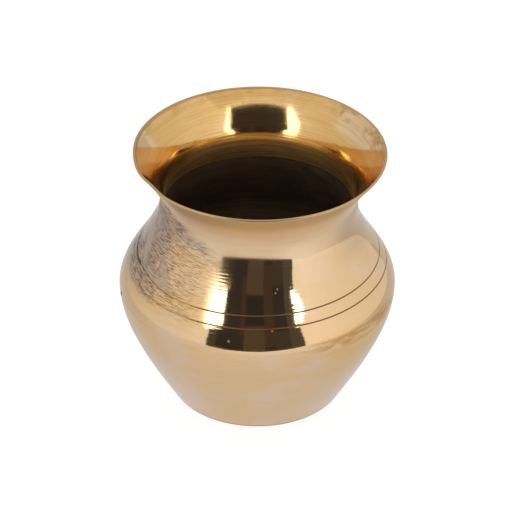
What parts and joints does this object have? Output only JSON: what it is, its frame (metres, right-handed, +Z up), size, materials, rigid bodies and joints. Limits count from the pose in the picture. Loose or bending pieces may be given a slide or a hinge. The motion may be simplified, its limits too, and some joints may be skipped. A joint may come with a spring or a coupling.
{
  "type": "brass kalash pot",
  "caption": "Small round-bellied brass water pot with a pinched neck, a wide flared mouth and engraved lines on its shoulder.",
  "frame": {"origin": "centre of the flat face that the pot stands on", "axes": "+Z is up, along the axis that the pot was turned about; +Y points away from the front, which is the side with the clearest view in the reference, and +X is to the front viewer's right"},
  "size_m": [0.1002, 0.1002, 0.1],
  "materials": {
    "turned_brass": "lathe-turned and hand-polished outside with fine turning marks, dark and oxidised inside",
    "collar_brass": "lathe-turned and polished inside and out, with tool rings in the neck",
    "braze_filler": "spelter, filed and polished flush"
  },
  "bodies": {
    "root": {"base_disc": "turned_brass", "base_braze_ring": "braze_filler", "lower_bowl": "turned_brass", "girth_braze_ring": "braze_filler", "shoulder_shell": "turned_brass", "neck_braze_ring": "braze_filler", "neck_collar": "collar_brass"}
  },
  "joints": []
}
